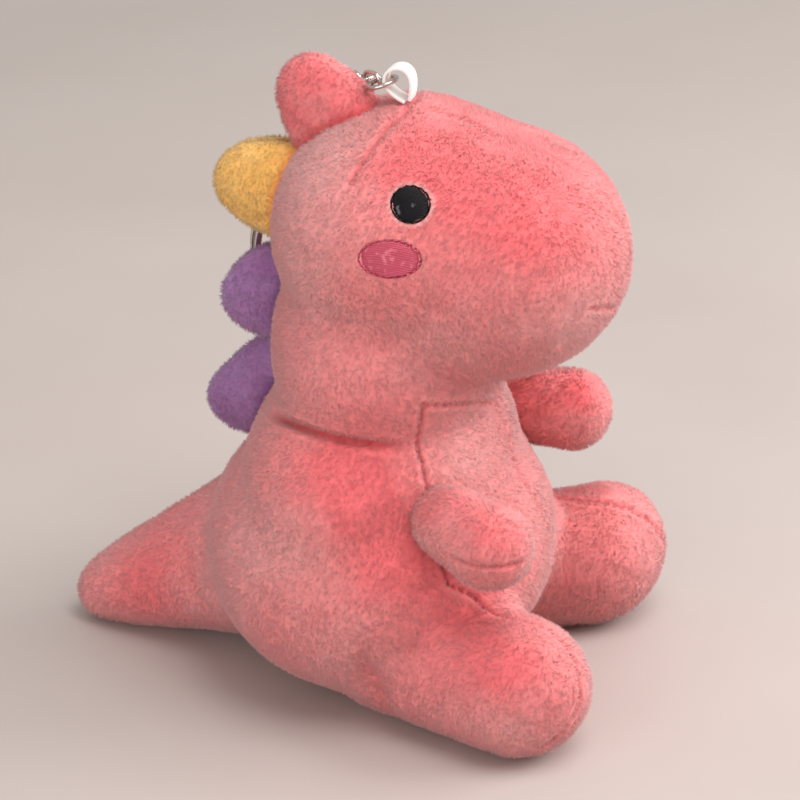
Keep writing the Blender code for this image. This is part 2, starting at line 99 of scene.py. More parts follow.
# Lines on the right side of the toy; the left side has the same ones. Seams are (line, depth, half width,
# stitch length or 0), and creases (line, depth, half width, how much painted shade lies in them). Both
# get painted shade down in their grooves.
DART = ((-1, -4.3, 102), (-4.5, -4.3, 101.3), (-7.3, -3.2, 100.7), (-11.6, -2.2, 99.4),
        (-14.9, -1.4, 97.7), (-17.4, -0.4, 95.8), (-18.9, -0.1, 94.3))
MOUTH = ((-11.5, -36.6, 74.2), (-8.4, -37.9, 73.5), (-3.3, -38.5, 71.7), (0, -38.8, 71.0))
BELLY_TOP = ((-20.8, -12.6, 57.9), (-16.5, -15.9, 56.4), (-9.6, -18.5, 54.2), (-1.3, -19.1, 50.9),
             (0, -19.2, 50.8))
BELLY_SIDE = ((-20.8, -12.6, 57.9), (-20.0, -12.0, 53.5), (-19.7, -11.5, 49.8), (-20.7, -12.9, 46.2),
              (-23.5, -15.5, 36.0), (-24.9, -18.2, 28.6))
NECK = ((-14.0, 15.5, 50.4), (-18.0, 12.5, 51.2), (-23.0, 5.3, 52.2), (-23.9, -0.3, 51.9),
        (-23.1, -5.5, 51.2), (-20.6, -10.1, 50.0))
LEG_TOP = ((-24.9, -18.2, 28.6), (-22.5, -22.0, 25.8), (-21.8, -28.0, 23.6), (-22.6, -33.5, 22.2),
           (-24.8, -39.0, 18.6), (-27.8, -41.8, 12.9), (-30.4, -40.0, 8.0), (-32.6, -35.8, 4.0))
LEG_BACK = ((-32.6, -5.5, 20.5), (-31.0, -5.8, 15.1), (-28.5, -7.0, 9.9), (-24.0, -8.5, 3.0))
TAIL_ROOT = ((-8.5, 32.6, 22.2), (-11.3, 31.9, 19.7), (-12.4, 30.9, 15.8), (-12.4, 29.2, 11.4),
             (-9.4, 26.8, 5.6))
SEAMS = (
    (DART, 0.3, 0.5, 0), (MOUTH, 0.45, 0.4, 0), (BELLY_TOP, 0.5, 0.45, 1.5),
    (BELLY_SIDE, 0.5, 0.45, 1.5), (LEG_TOP, 0.5, 0.45, 1.5),
)
CREASES = ((NECK, 1.4, 0.85, 0.8), (LEG_BACK, 0.9, 2.0, 0.2), (TAIL_ROOT, 0.5, 1.7, 0.15))
# Broad changes of the form: (middle, radius, how far out). The two feet of a sewn toy never match.
SWELLS = (
    ((0, -27, 98), 14, -1.8), ((0, -38, 77), 15, 1.5), ((0, 18, 74), 16, 1.1), ((33, -36, 20), 11, 2.8),
    ((36, -40, 10), 9, 1.8), ((-20, 4, 57), 9, 0.8), ((0, 57, 5), 8, -0.9),
)
MIDDLE_SEAM = (0.35, 0.45)          # depth and half width of the seam in the mirror plane
BACK_RIDGE = (0.45, 1.6)            # height and half width of the ridge of pile along the back

# Where the pile lies the other way it looks deep or pale, painted in as shade and sheen: (middle on the right
# side, radius, amount)
NAP_SHADING_PATCHES = (
    ((-8, -14, 99), 12, -0.50), ((-10, -27, 95), 13, -0.55), ((-16, -28, 88), 8, -0.30),
    ((-16, -5, 95), 6, -0.25), ((-26, -1, 47), 7, -0.45), ((-28, -5, 41), 7, -0.45),
    ((-28, -10, 32), 8, -0.50), ((-24, -20, 25), 8, -0.55), ((-32, -29, 18), 7, -0.60),
    ((-9, 42, 13), 8, -0.35), ((-19, -26, 63), 8, -0.20),
    ((-12, 8, 96), 11, 0.45), ((-21, 8, 86), 10, 0.35), ((-22, 2, 70), 12, 0.22),
    ((-22, -17, 69), 9, 0.25), ((-13, -35, 71), 8, 0.40), ((-20, -27, 80), 8, 0.12),
    ((-15, -18, 46), 8, 0.40), ((-31, 6, 34), 9, 0.35), ((-23, 20, 32), 8, 0.25),
    ((-31, 0, 14), 9, 0.25), ((-35, -31, 11), 7, 0.45), ((-12, 28, 15), 6, 0.15),
)

# Embroidery on each side of the head: half sizes, directions of the thread in degrees, and the thread
EYE_SIZE = (2.95, 2.95)
CHEEK_SIZE = (4.8, 2.9)
PATCH_DEPTH = 4.0                   # how far off a patch's middle the skin still belongs to it
EYE_TURN = 24
CHEEK_TURN = 8
THREAD_PITCH = 0.27
THREAD_RADIUS = 0.17
THREAD_SIDES = 6
THREAD_STEPS = 12                   # along a stitch
RIM_PITCH = 1.1                     # length of a stitch of the rim

TABLE_HALF = 5.0
CAMERA_TARGET = (0.0, 0.0, 0.048)
CAMERA_AZIMUTH = -73.4
CAMERA_ELEVATION = 24.6
CAMERA_DISTANCE = 0.578
CAMERA_LENS = 155.0
CAMERA_SHIFT = (0.018, 0.002)
# Metres up, to the right of the picture and away from the camera; size, power and colour
LIGHTS = (
    ("key", (0.60, 0.20, -0.20), 0.5, 3.0, (1.0, 0.98, 0.96)),
    ("window", (0.26, 0.60, 0.05), 0.45, 3.6, (1.0, 0.98, 0.97)),
    ("fill", (0.18, -0.35, -0.60), 0.6, 2.0, (1.0, 0.97, 0.96)),
)


# ---- materials -------------------------------------------------------------------------------------

def new_material(name, color, roughness, metallic=0.0):
    look = bpy.data.materials.new(name)
    look.use_nodes = True
    shader = look.node_tree.nodes["Principled BSDF"]
    shader.inputs["Base Color"].default_value = (*color, 1)
    shader.inputs["Roughness"].default_value = roughness
    shader.inputs["Metallic"].default_value = metallic
    return look, look.node_tree, shader


def noise_node(tree, scale, detail=2.0):
    """A noise texture in the object's own metres; scale is in repeats on a metre."""
    place = tree.nodes.new("ShaderNodeTexCoord")
    made = tree.nodes.new("ShaderNodeTexNoise")
    made.inputs["Scale"].default_value = scale
    made.inputs["Detail"].default_value = detail
    tree.links.new(place.outputs["Object"], made.inputs["Vector"])
    return made


def mix_color(tree, factor, first, second):
    """A mix of two colours. Each is an output of a node or a plain colour."""
    made = tree.nodes.new("ShaderNodeMix")
    made.data_type = "RGBA"
    if isinstance(factor, float):
        made.inputs["Factor"].default_value = factor
    else:
        tree.links.new(factor, made.inputs["Factor"])
    for socket, value in ((made.inputs[6], first), (made.inputs[7], second)):
        if isinstance(value, tuple):
            socket.default_value = (*value, 1)
        else:
            tree.links.new(value, socket)
    return made.outputs[2]


def add_bump(tree, shader, height, strength, distance):
    made = tree.nodes.new("ShaderNodeBump")
    made.inputs["Strength"].default_value = strength
    made.inputs["Distance"].default_value = distance
    tree.links.new(height, made.inputs["Height"])
    tree.links.new(made.outputs["Normal"], shader.inputs["Normal"])


def spread(tree, value, low, high, out_low=0.0, out_high=1.0):
    made = tree.nodes.new("ShaderNodeMapRange")
    for socket, number in zip(("From Min", "From Max", "To Min", "To Max"),
                              (low, high, out_low, out_high)):
        made.inputs[socket].default_value = number
    tree.links.new(value, made.inputs["Value"])
    return made.outputs["Result"]


def plush_look(name, deep, pale, crease):
    """Short pile: deep where one looks into it, pale where it lies flat, both painted in as shade and sheen, and
    darkest in a seam, with painted shade.

    The mesh carries how pale the pile looks, from its lie and from painted sheen and shade, and how much painted
    shade lies down in a seam or crease.
    """
    look, tree, shader = new_material(name, deep, 0.95)
    nap_shading, fold_shade = (tree.nodes.new("ShaderNodeAttribute") for _ in range(2))
    nap_shading.attribute_name = "nap_shading"
    fold_shade.attribute_name = "fold_shade"
    # Painted shade and sheen: deep where the pile stands towards the eye, pale where it lies flat
    base = mix_color(tree, nap_shading.outputs["Fac"], deep, pale)
    grain = spread(tree, noise_node(tree, 1300.0, 3.0).outputs["Fac"], 0.35, 0.65)
    shaded = mix_color(tree, 0.16, base, crease)
    # Painted shade: down in seams and creases the colour goes over to the crease colour
    color = mix_color(tree, fold_shade.outputs["Fac"], mix_color(tree, grain, shaded, base), crease)
    tree.links.new(color, shader.inputs["Base Color"])
    shader.inputs["Specular IOR Level"].default_value = 0.1
    shader.inputs["Sheen Weight"].default_value = 0.4
    shader.inputs["Sheen Roughness"].default_value = 0.5
    shader.inputs["Sheen Tint"].default_value = (*(0.3 + 0.7 * c for c in pale), 1)
    shader.inputs["Subsurface Weight"].default_value = 0.3
    shader.inputs["Subsurface Radius"].default_value = (1.0, 0.4, 0.35)
    shader.inputs["Subsurface Scale"].default_value = 0.001
    return look


def thread_look(name, dark, light, gloss, glint_from):
    """Satin thread, with paler glints along it: the fewer, the higher glint_from is."""
    look, tree, shader = new_material(name, dark, 0.42)
    glint = spread(tree, noise_node(tree, 900.0, 4.0).outputs["Fac"], glint_from, glint_from + 0.1)
    tree.links.new(mix_color(tree, glint, dark, light), shader.inputs["Base Color"])
    shader.inputs["Specular IOR Level"].default_value = gloss
    add_bump(tree, shader, noise_node(tree, 6000.0).outputs["Fac"], 0.3, 0.00005)
    return look


def ribbon_look():
    """Sheer white ribbon with a fine plain weave."""
    look, tree, shader = new_material("sheer_ribbon", (0.86, 0.83, 0.80), 0.5)
    place = tree.nodes.new("ShaderNodeTexCoord")
    ribs = tree.nodes.new("ShaderNodeTexWave")
    ribs.bands_direction = "X"
    ribs.inputs["Scale"].default_value = 900.0
    tree.links.new(place.outputs["Object"], ribs.inputs["Vector"])
    color = mix_color(tree, ribs.outputs["Fac"], (0.74, 0.70, 0.67), (0.95, 0.93, 0.91))
    tree.links.new(color, shader.inputs["Base Color"])
    shader.inputs["Sheen Weight"].default_value = 0.3
    shader.inputs["Subsurface Weight"].default_value = 0.25
    shader.inputs["Subsurface Radius"].default_value = (0.001, 0.001, 0.001)
    add_bump(tree, shader, ribs.outputs["Fac"], 0.35, 0.0001)
    return look


def nickel_look():
    """Polished nickel plate with a little cloudiness and hairline wear."""
    look, tree, shader = new_material("nickel_plate", (0.60, 0.57, 0.53), 0.22, 1.0)
    cloud = noise_node(tree, 260.0, 4.0)
    tree.links.new(spread(tree, cloud.outputs["Fac"], 0.3, 0.7, 0.14, 0.34), shader.inputs["Roughness"])
    color = mix_color(tree, cloud.outputs["Fac"], (0.50, 0.47, 0.43), (0.72, 0.69, 0.65))
    tree.links.new(color, shader.inputs["Base Color"])
    add_bump(tree, shader, noise_node(tree, 5000.0).outputs["Fac"], 0.12, 0.00003)
    return look


def floor_look():
    look, tree, shader = new_material("pale_table", (0.50, 0.44, 0.41), 0.6)
    color = mix_color(tree, noise_node(tree, 14.0, 3.0).outputs["Fac"], (0.47, 0.41, 0.385),
                      (0.53, 0.475, 0.45))
    tree.links.new(color, shader.inputs["Base Color"])
    return look


# ---- surfaces as arrays ----------------------------------------------------------------------------

def node_mesh(name, grow=0.0):
    """A CAD node's mesh in millimetres, welded and grown along its normals."""
    welded = bmesh.new()
    welded.from_mesh(frame["nodes"][name].data)
    bmesh.ops.scale(welded, vec=(1 / MM,) * 3, verts=welded.verts)
    bmesh.ops.remove_doubles(welded, verts=welded.verts, dist=0.003)
    welded.normal_update()
    moved = [v.co + v.normal * grow for v in welded.verts]
    for vert, place in zip(welded.verts, moved):
        vert.co = place
    return welded


def joined(parts):
    """Several bmeshes as one. The parts are used up."""
    whole = bmesh.new()
    for part in parts:
        held = bpy.data.meshes.new("held")
        part.to_mesh(held)
        part.free()
        whole.from_mesh(held)
        bpy.data.meshes.remove(held)
    return whole


def hull(points):
    """The convex hull of some points, as a bmesh."""
    made = bmesh.new()
    for point in points:
        made.verts.new(point)
    bmesh.ops.convex_hull(made, input=made.verts)
    bmesh.ops.delete(made, geom=[v for v in made.verts if not v.link_faces], context="VERTS")
    return made


def fused(solid, voxel, rounds):
    """The outer surface of a bmesh, remeshed in fine quads and smoothed: (points, quads)."""
    mesh = bpy.data.meshes.new("guide")
    solid.to_mesh(mesh)
    solid.free()
    guide = bpy.data.objects.new("guide", mesh)
    bpy.context.collection.objects.link(guide)
    remesh = guide.modifiers.new("fuse", "REMESH")
    remesh.mode = "VOXEL"
    remesh.voxel_size = voxel
    smooth = guide.modifiers.new("soften", "SMOOTH")
    smooth.factor = 0.5
    smooth.iterations = rounds
    fine = guide.evaluated_get(bpy.context.evaluated_depsgraph_get()).to_mesh()
    points = np.zeros(len(fine.vertices) * 3)
    fine.vertices.foreach_get("co", points)
    quads = np.zeros(len(fine.loops), int)
    fine.loops.foreach_get("vertex_index", quads)
    bpy.data.objects.remove(guide)
    return points.reshape(-1, 3), quads.reshape(-1, 4)


def unit(vectors):
    return vectors / np.maximum(np.linalg.norm(vectors, axis=-1, keepdims=True), 1e-9)


def quad_facings(points, quads):
    """The way each quad faces, twice as long as its area."""
    corners = points[quads]
    return np.cross(corners[:, 2] - corners[:, 0], corners[:, 3] - corners[:, 1])


def point_normals(points, quads):
    facing = quad_facings(points, quads)
    total = np.zeros_like(points)
    for corner in range(4):
        np.add.at(total, quads[:, corner], facing)
    return unit(total)


def curve_points(stations):
    """Points on a smooth curve through the stations (Catmull-Rom), about LINE_STEP apart."""
    found = []
    last = len(stations) - 1
    for index in range(last):
        a, b, c, d = (np.array(stations[min(max(index + k, 0), last)], float) for k in (-1, 0, 1, 2))
        count = max(2, int(np.linalg.norm(c - b) / LINE_STEP))
        for t in np.arange(count) / count:
            found.append((b * 2 + (c - a) * t + (a * 2 - b * 5 + c * 4 - d) * t ** 2
                          + (b * 3 - a - c * 3 + d) * t ** 3) / 2)
    found.append(np.array(stations[-1], float))
    return found


def line_distance(points, stations, surface):
    """For each point, how far it is from a curve drawn on a surface and about how far along."""
    line = curve_points(stations)
    near = KDTree(len(line))
    for index, place in enumerate(line):
        near.insert(surface.find_nearest(place)[0], index)
    near.balance()
    found = [near.find(p) for p in points]
    return np.array([f[2] for f in found]), np.array([f[1] for f in found]) * LINE_STEP


def bell(distance, half_width):
    return np.exp(-(distance / half_width) ** 2)


def noise_at(points, size, seed):
    """Smooth noise from -1 to 1 with features of about this size."""
    shift = Vector((seed * 17.3, seed * 5.1, seed * 9.7))
    return np.array([noise.noise(Vector(p) / size + shift) for p in points])


def on_right(points):
    """The points with the left half mirrored over to the right."""
    return points * (-1, 1, 1) * np.sign(points[:, :1] - 1e-9) * (1, 0, 0) + points * (0, 1, 1)


# ---- pieces ----------------------------------------------------------------------------------------

def make_piece(name, points, faces, look, nap_shading, fold_shade, normals=None):
    """A smooth-shaded piece from points in millimetres, with its own normals if they are given."""
    mesh = bpy.data.meshes.new(name)
    mesh.from_pydata((np.asarray(points) * MM).tolist(), [], np.asarray(faces).tolist())
    mesh.shade_smooth()
    mesh.materials.append(look)
    for title, values in (("nap_shading", nap_shading), ("fold_shade", fold_shade)):
        mesh.attributes.new(title, "FLOAT", "POINT").data.foreach_set(
            "value", values.astype(np.float32))
    if normals is not None:
        mesh.normals_split_custom_set_from_vertices(normals.tolist())
    piece = bpy.data.objects.new(name, mesh)
    bpy.context.collection.objects.link(piece)
    return piece


def make_pile(name, skin, look, seed, share=None, density=PILE_DENSITY):
    """Short tapered strands, each a closed sliver, all over a skin: (points, quads, nap, fold, bare).

    share is an array that is 1 for the quads to grow them on, or None for all. No strand grows where
    bare is 1, and where it is between 0 and 1 they are shorter.
    """
    points, quads, nap_shading, fold_shade, bare = skin
    random = np.random.default_rng(seed)
    area = np.linalg.norm(quad_facings(points, quads), axis=1) / 2
    area = area * (bare[quads].max(axis=1) < PILE_BARE)
    if share is not None:
        area = area * share
    count = int(area.sum() * density)
    chosen = quads[random.choice(len(quads), count, p=area / area.sum())]
    across, along = random.random((2, count, 1))
    weights = np.stack([(1 - across) * (1 - along), across * (1 - along), across * along,
                        (1 - across) * along], axis=1)
    root = (points[chosen] * weights).sum(axis=1)
    normal = unit((point_normals(points, quads)[chosen] * weights).sum(axis=1))
    # deep carries the painted shade of seams and creases on to the strands
    tone, deep, short = ((values[chosen] * weights[:, :, 0]).sum(axis=1) for values in (nap_shading, fold_shade, bare))
    swirl = np.stack([noise_at(root, PILE_SWIRL[0], seed + k) for k in range(3)], axis=1)
    flow = np.array(NAP_FLOW) + PILE_SWIRL[1] * swirl
    flow = unit(flow - normal * (flow * normal).sum(axis=1, keepdims=True))
    clump = np.stack([noise_at(root, PILE_CLUMP[0], seed + 5 + k) for k in range(3)], axis=1)
    direction = unit(normal + flow * (PILE_LEAN[0] - PILE_LEAN[1] * tone[:, None])
                     + clump * PILE_CLUMP[1] + random.normal(0, PILE_STRAY, (count, 3)))
    lacking = np.maximum(PILE_LEAST_RISE - (direction * normal).sum(1), 0)
    direction = unit(direction + normal * lacking[:, None])
    reach = PILE_LENGTH * (1 - short) * random.uniform(0.75, 1.15, count)
    side = unit(np.cross(direction, normal + random.normal(0, 0.5, (count, 3))))
    other = np.cross(direction, side)
    base = root - normal * PILE_SINK
    half = PILE_WIDTH / 2 * random.uniform(0.8, 1.2, (count, 1))
    # Three corners at the root, a third of a turn apart, and the tip
    strand = np.stack([
        base + side * half, base + (other * 0.87 - side * 0.5) * half,
        base - (other * 0.87 + side * 0.5) * half, root + direction * reach[:, None]], axis=1)
    strand[..., 2] = np.maximum(strand[..., 2], FLOOR_GAP)
    first = np.arange(count)[:, None, None] * 4
    faces = np.array([[0, 1, 3], [1, 2, 3], [2, 0, 3], [2, 1, 0]]) + first
    leaning = unit(normal * 1.6 + direction * 0.4 + clump * 0.4)
    tip = tone + 0.16 * clump[:, 1] + random.normal(0, 0.03, count)
    shades = np.stack([tip - PILE_SHADE[0]] * 3 + [tip + PILE_SHADE[1]], axis=1)
    return make_piece(name, strand.reshape(-1, 3), faces.reshape(-1, 3), look,
                      np.clip(shades.reshape(-1), 0, 1), np.repeat(deep, 4),
                      np.repeat(leaning, 4, axis=0))


def body_skin(panels):
    """The body's skin over its CAD panels: (points, quads, nap, fold, bare)."""
    solid = joined([node_mesh(n) for n in panels] + [node_mesh("body_filling", FILLING_GROW)])
    points, quads = fused(solid, BODY_VOXEL, BODY_SMOOTHING)
    normals = point_normals(points, quads)
    side = on_right(points)
    move = np.full(len(points), -PILE_ROOM)
    fold_shade = np.zeros(len(points))
    tree = BVHTree.FromPolygons([Vector(p) for p in points], quads.tolist())
    for middle, radius, out in SWELLS:
        move += out * bell(np.linalg.norm(points - np.array(middle), axis=1), radius)
    for stations, depth, half_width, stitch in SEAMS:
        away, along = line_distance(side, stations, tree)
        pucker = 1 + 0.7 * np.cos(2 * math.pi * along / stitch) if stitch else 1.0
        move -= depth * pucker * bell(away, half_width)
        move += 0.35 * depth * bell(away - 2.2 * half_width, half_width)
        # Painted shade down in the seam's groove
        fold_shade = np.maximum(fold_shade, (0.35 + 0.35 * pucker) * bell(away, 0.9 * half_width))
    for stations, depth, half_width, crease_shade in CREASES:
        away, along = line_distance(side, stations, tree)
        fade = np.clip(np.minimum(along, along.max() - along) / 6, 0, 1)
        move -= depth * fade * bell(away, half_width)
        move += 0.3 * depth * fade * bell(away - 2 * half_width, half_width)
        # Painted shade down in the crease
        fold_shade = np.maximum(fold_shade, crease_shade * fade * bell(away, 0.8 * half_width))
    middle = np.abs(points[:, 0])
    front = points[:, 1] < -4
    move -= np.where(front, MIDDLE_SEAM[0] * bell(middle, MIDDLE_SEAM[1]), 0)
    move += np.where(front, 0, BACK_RIDGE[0] * bell(middle, BACK_RIDGE[1])
                     - 2 * MIDDLE_SEAM[0] * bell(middle, MIDDLE_SEAM[1]))
    # Painted shade along the middle seam
    fold_shade = np.maximum(fold_shade, 0.5 * bell(middle, 0.8 * MIDDLE_SEAM[1]))
    move += 0.3 * noise_at(points, 12.0, 3) + 0.1 * noise_at(points, 2.6, 4)
    points = points + normals * move[:, None]
    points[:, 2] = np.maximum(points[:, 2], FLOOR_GAP)
    fold_shade = np.clip(fold_shade, 0, 1)
    return points, quads, body_nap_shading(side), fold_shade, 0.7 * fold_shade


def body_nap_shading(side):
    """How pale the pile looks, 0 to 1, from the patches where it lies one way or the other: painted sheen and
    shade over tones that differ at random.
    """
    nap_shading = 0.42 + 0.2 * noise_at(side, 14.0, 8) + 0.12 * noise_at(side, 4.0, 9)
    for middle, radius, amount in NAP_SHADING_PATCHES:
        nap_shading += amount * bell(np.linalg.norm(side - np.array(middle), axis=1), radius)
    return np.clip(nap_shading, 0, 1)


def patch_place(tree, side, name):
    """Where an embroidered patch lies: its middle on the skin, and its level, upright and outward way."""
    low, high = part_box(name)
    middle = (low + high) / 2 / MM
    spot, facing = tree.find_nearest(middle)[:2]
    level = facing.cross(Vector((0, 0, 1))).normalized() * -side
    return spot, level, level.cross(facing) * side, facing


def tube(stations, radii):
    """A closed tube through the stations with round caps: (points, triangles and quads)."""
    points, faces = [], []
    sides = THREAD_SIDES
    last = len(stations) - 1
    for index, place in enumerate(stations):
        ahead = (stations[min(index + 1, last)] - stations[max(index - 1, 0)]).normalized()
        first = ahead.cross(Vector((0.31, 0.22, 0.92))).normalized()
        second = ahead.cross(first)
        for corner in range(sides):
            angle = 2 * math.pi * corner / sides
            points.append(place + (first * math.cos(angle) + second * math.sin(angle)) * radii[index])
    for index in range(last):
        for corner in range(sides):
            after = (corner + 1) % sides
            low, high = index * sides, (index + 1) * sides
            faces.append([low + corner, low + after, high + after, high + corner])
    points += [stations[0], stations[-1]]
    for end, centre in ((0, len(points) - 2), (last * sides, len(points) - 1)):
        for corner in range(sides):
            faces.append([centre, end + corner, end + (corner + 1) % sides])
    return points, faces


def merged(shapes):
    """Several (points, faces) as one."""
    points, faces = [], []
    for more_points, more_faces in shapes:
        start = len(points)
        points += more_points
        faces += [[start + i for i in face] for face in more_faces]
    return points, faces


def make_embroidery(name, tree, place, half_sizes, turn, look, seed):
    """A patch of satin stitches: parallel threads that arch up off the skin, with a rim of thread."""
    random = np.random.default_rng(seed)
    spot, level, upright, facing = place
    angle = math.radians(turn)
    reach, rise = half_sizes

    def on_skin(u, v, height):
        start = spot + level * u + upright * v + facing * 12
        hit, normal = tree.ray_cast(start, -facing)[:2]
        return hit + normal * height
    shapes = []
    count = int(2 * max(reach, rise) / THREAD_PITCH)
    for index in range(count + 1):
        offset = (index / count * 2 - 1) * max(reach, rise) * 0.985
        across = Vector((-math.sin(angle), math.cos(angle))) * offset
        along = Vector((math.cos(angle), math.sin(angle)))
        scaled = Vector((across.x / reach, across.y / rise))
        way = Vector((along.x / reach, along.y / rise))
        inside = scaled.dot(way) ** 2 - way.dot(way) * (scaled.dot(scaled) - 1)
        if inside <= 0.01:
            continue
        ends = [(-scaled.dot(way) + sign * math.sqrt(inside)) / way.dot(way) for sign in (-1, 1)]
        low, high = (end + random.uniform(-0.12, 0.12) for end in ends)
        stations = []
        for step in range(THREAD_STEPS + 1):
            share = step / THREAD_STEPS
            spot_uv = across + along * (low + (high - low) * share)
            arch = 1 - abs(2 * share - 1) ** 4
            stations.append(on_skin(spot_uv.x, spot_uv.y, -0.25 + 0.65 * arch))
        shapes.append(tube(stations, [THREAD_RADIUS * random.uniform(0.92, 1.1)] * len(stations)))
    stitches = int(2 * math.pi * max(reach, rise) / RIM_PITCH)
    for index in range(stitches):
        turns = [2 * math.pi * (index + share) / stitches for share in (0.05, 0.5, 0.95)]
        stations = [on_skin(math.cos(t) * (reach + 0.1), math.sin(t) * (rise + 0.1), h)
                    for t, h in zip(turns, (-0.05, 0.28, -0.05))]
        shapes.append(tube(stations, [THREAD_RADIUS] * len(stations)))
    points, faces = merged(shapes)
    mesh = bpy.data.meshes.new(name)
    mesh.from_pydata([tuple(p * MM) for p in points], [], faces)
    made = bmesh.new()
    made.from_mesh(mesh)
    bmesh.ops.recalc_face_normals(made, faces=made.faces)
    made.to_mesh(mesh)
    made.free()
    mesh.shade_smooth()
    mesh.materials.append(look)
    piece = bpy.data.objects.new(name, mesh)
    bpy.context.collection.objects.link(piece)
    return piece


def spike_skin(name, body_tree):
    """A puffed spike over its two CAD halves, its foot sunk into the body's skin."""
    halves = joined([node_mesh(f"{name}_{word}") for word in ("left", "right")])
    points = [v.co.copy() for v in halves.verts]
    halves.free()
    middle = sum(points, Vector()) / len(points)
    facing = body_tree.find_nearest(middle)[1]
    facing.x = 0
    facing.normalize()
    feet = [p - facing * SPIKE_SINK for p in points if body_tree.find_nearest(p)[3] < SPIKE_FOOT]
    points, quads = fused(hull(points + feet), SMALL_VOXEL, SPIKE_SMOOTHING)
    normals = point_normals(points, quads)
    rim = np.abs(points[:, 0] - middle.x)
    edge = np.clip((1 - np.abs(normals[:, 0])) * 2 - 0.6, 0, 1)
    move = SPIKE_PUFF - 0.5 * bell(rim, 0.45) * edge
    move += 0.3 * noise_at(points, 5.0, len(name)) + 0.15 * noise_at(points, 1.8, 2)
    points = points + normals * move[:, None]
    nap_shading = (0.15 if name == "spike_pink" else 0.45) + 0.3 * noise_at(points, 5.0, 6)
    nap_shading = np.clip(nap_shading + 0.1 * noise_at(points, 1.6, 7), 0, 1)
    low = np.array([body_tree.find_nearest(p)[3] for p in points])
    # Painted shade at the spike's foot, where it meets the body, and along the seam round its edge
    fold_shade = np.clip(1.2 - low / SPIKE_FOOT, 0, 1) + 0.4 * bell(rim, 0.4) * edge
    return points, quads, nap_shading, np.clip(0.8 * fold_shade, 0, 1), 0.35 * np.clip(fold_shade, 0, 1)


def arm_skin(name, body_tree):
    """A stuffed arm over its two CAD halves, its root sunk into the body's skin."""
    halves = joined([node_mesh(f"{name}_{word}") for word in ("outer", "inner")])
    points = [v.co.copy() for v in halves.verts]
    halves.free()
    hinge = next(j for j in frame["joints"] if j["child"] == name)
    shoulder = Vector(hinge["pos_m"]) / MM
    spot, facing = body_tree.find_nearest(shoulder)[:2]
    inward = (spot - shoulder).normalized()
    roots = [p + inward * ARM_SINK for p in points if (p - shoulder).length < ARM_ROOT]
    arm, quads = fused(hull(points + roots), SMALL_VOXEL, ARM_SMOOTHING)
    normals = point_normals(arm, quads)
    side = math.copysign(1, shoulder.x)
    tip = Vector(arm.mean(axis=0))
    along = (tip - shoulder).normalized()
    across = along.cross(Vector((0, 0, 1))).normalized() * side
    reach = (arm - np.array(shoulder)) @ np.array(along)
    cut = (arm - np.array(shoulder)) @ np.array(across)
    drop = arm[:, 2] - (shoulder.z - ARM_SEAM_DROP)
    closing = bell(drop, 0.4) * np.clip(-cut * 0.4, 0, 1) * np.clip((reach - 1) / 3, 0, 1)
    pucker = 1 + 0.4 * np.cos(2 * math.pi * reach / 1.7)
    move = -PILE_ROOM - 0.4 * closing * pucker + 0.2 * noise_at(arm, 5.0, 12)
    arm = arm + normals * move[:, None]
    nap_shading = 0.25 + 0.3 * noise_at(arm, 7.0, 14) + 0.15 * noise_at(arm, 2.5, 15)
    nap_shading += 0.25 * bell(np.maximum(drop, 0), 3.0)
    # The seam where the arm closes gets painted shade, and fewer strands
    return (arm, quads, np.clip(nap_shading, 0, 1), 0.55 * closing, 0.5 * closing), shoulder, inward


def refined(node, grow, look, sharp_edges=False):
    """A finer, rounder copy of a low CAD node, such as a wire ring."""
    welded = node_mesh(node, grow)
    if sharp_edges:
        creases = welded.edges.layers.float.new("crease_edge")
        for edge in welded.edges:
            edge[creases] = 0.75 if edge.calc_face_angle(0) > 1.0 else 0.0
    mesh = bpy.data.meshes.new(f"{node}_fine")
    for vert in welded.verts:
        vert.co = vert.co * MM
    welded.to_mesh(mesh)
    welded.free()
    piece = bpy.data.objects.new(f"{node}_fine", mesh)
    bpy.context.collection.objects.link(piece)
    rounder = piece.modifiers.new("rounder", "SUBSURF")
    rounder.levels = FINE_LEVELS
    rounder.render_levels = FINE_LEVELS
    mesh.materials.append(look)
    mesh.shade_smooth()
    return piece


# ---- the object ------------------------------------------------------------------------------------

